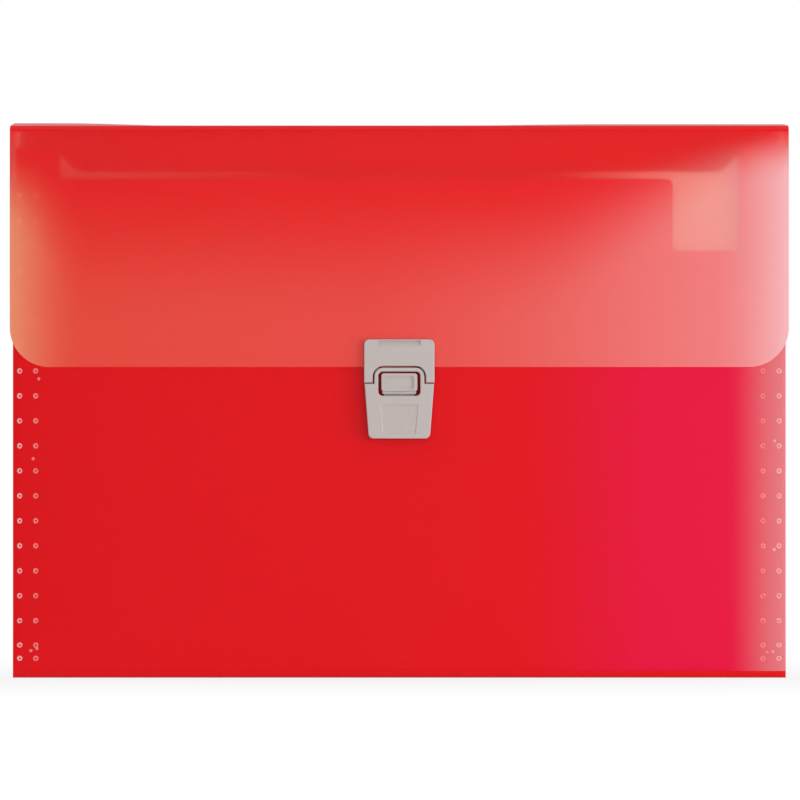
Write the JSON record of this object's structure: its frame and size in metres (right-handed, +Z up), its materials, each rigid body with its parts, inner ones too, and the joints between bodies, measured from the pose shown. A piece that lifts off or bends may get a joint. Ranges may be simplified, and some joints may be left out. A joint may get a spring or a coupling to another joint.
{
  "type": "expanding file",
  "caption": "Pleated document wallet of frosted red plastic sheet with divided pockets, a thumb notch, and a wide flap held by a grey two-part push clasp.",
  "frame": {"origin": "middle of the underside of the closed file, with the clasp counted in its depth; the file stands on its bottom spine", "axes": "+Z up, the front with the flap and the clasp faces -Y, +X to the right of someone who looks at the front"},
  "size_m": [0.335, 0.0394, 0.239],
  "materials": {
    "cover_sheet": "frosted translucent polypropylene sheet, red",
    "gusset_sheet": "thin frosted polypropylene sheet, red, scored and folded",
    "divider_sheet": "thin frosted polypropylene sheet, red, half see-through",
    "clasp_plastic": "satin injection moulded plastic, warm light grey",
    "rivet_plastic": "moulded plastic rivets, heads formed by heat",
    "spring_steel": "thin spring leaf"
  },
  "bodies": {
    "back": {"back_panel": "cover_sheet", "bottom_spine": "cover_sheet"},
    "divider_1": {"divider_1": "divider_sheet", "left_pleat_1": "gusset_sheet", "right_pleat_1": "gusset_sheet"},
    "divider_2": {"divider_2": "divider_sheet", "left_pleat_2": "gusset_sheet", "right_pleat_2": "gusset_sheet"},
    "divider_3": {"divider_3": "divider_sheet", "left_pleat_3": "gusset_sheet", "right_pleat_3": "gusset_sheet"},
    "divider_4": {"divider_4": "divider_sheet", "left_pleat_4": "gusset_sheet", "right_pleat_4": "gusset_sheet"},
    "divider_5": {"divider_5": "divider_sheet", "left_pleat_5": "gusset_sheet", "right_pleat_5": "gusset_sheet"},
    "front": {"front_panel": "cover_sheet", "left_pleat_6": "gusset_sheet", "right_pleat_6": "gusset_sheet", "clasp_lower_base": "clasp_plastic", "clasp_lower_backplate": "clasp_plastic", "clasp_lower_rivets": "rivet_plastic", "clasp_spring": "spring_steel"},
    "lid": {"top_spine": "cover_sheet"},
    "flap": {"flap": "cover_sheet", "clasp_upper_plate": "clasp_plastic", "clasp_upper_backplate": "clasp_plastic", "clasp_upper_rivets": "rivet_plastic"},
    "button": {"clasp_button": "clasp_plastic"}
  },
  "joints": [
    {"name": "lid_hinge", "type": "hinge", "parent": "back", "child": "lid", "pos_m": [0, 0.01932, 0.2386], "axis": [-1, 0, 0], "range_deg": [0, 180]},
    {"name": "flap_hinge", "type": "hinge", "parent": "lid", "child": "flap", "pos_m": [0, -0.01632, 0.2356], "axis": [-1, 0, 0], "range_deg": [0, 180]},
    {"name": "fan_hinge_1", "type": "hinge", "parent": "back", "child": "divider_1", "pos_m": [0, -0.01303, 0.003], "axis": [1, 0, 0], "range_deg": [0, 3.5], "deforming": ["left_pleat_1", "right_pleat_1"]},
    {"name": "fan_hinge_2", "type": "hinge", "parent": "divider_1", "child": "divider_2", "pos_m": [0, -0.01303, 0.003], "axis": [1, 0, 0], "range_deg": [0, 3.5], "deforming": ["left_pleat_2", "right_pleat_2"]},
    {"name": "fan_hinge_3", "type": "hinge", "parent": "divider_2", "child": "divider_3", "pos_m": [0, -0.01303, 0.003], "axis": [1, 0, 0], "range_deg": [0, 3.5], "deforming": ["left_pleat_3", "right_pleat_3"]},
    {"name": "fan_hinge_4", "type": "hinge", "parent": "divider_3", "child": "divider_4", "pos_m": [0, -0.01303, 0.003], "axis": [1, 0, 0], "range_deg": [0, 3.5], "deforming": ["left_pleat_4", "right_pleat_4"]},
    {"name": "fan_hinge_5", "type": "hinge", "parent": "divider_4", "child": "divider_5", "pos_m": [0, -0.01303, 0.003], "axis": [1, 0, 0], "range_deg": [0, 3.5], "deforming": ["left_pleat_5", "right_pleat_5"]},
    {"name": "fan_hinge_6", "type": "hinge", "parent": "divider_5", "child": "front", "pos_m": [0, -0.01303, 0.003], "axis": [1, 0, 0], "range_deg": [0, 3.5], "deforming": ["left_pleat_6", "right_pleat_6"]},
    {"name": "button_press", "type": "hinge", "parent": "front", "child": "button", "pos_m": [0, -0.01533, 0.1145], "axis": [-1, 0, 0], "range_deg": [0, 6], "stiffness_Nm_per_rad": 0.25, "springref_deg": -1.72, "deforming": ["clasp_spring"]}
  ],
  "couplings": [
    {"joint": "fan_hinge_1", "follows": "lid_hinge", "ratio": 0.019444},
    {"joint": "fan_hinge_2", "follows": "lid_hinge", "ratio": 0.019444},
    {"joint": "fan_hinge_3", "follows": "lid_hinge", "ratio": 0.019444},
    {"joint": "fan_hinge_4", "follows": "lid_hinge", "ratio": 0.019444},
    {"joint": "fan_hinge_5", "follows": "lid_hinge", "ratio": 0.019444},
    {"joint": "fan_hinge_6", "follows": "lid_hinge", "ratio": 0.019444}
  ]
}
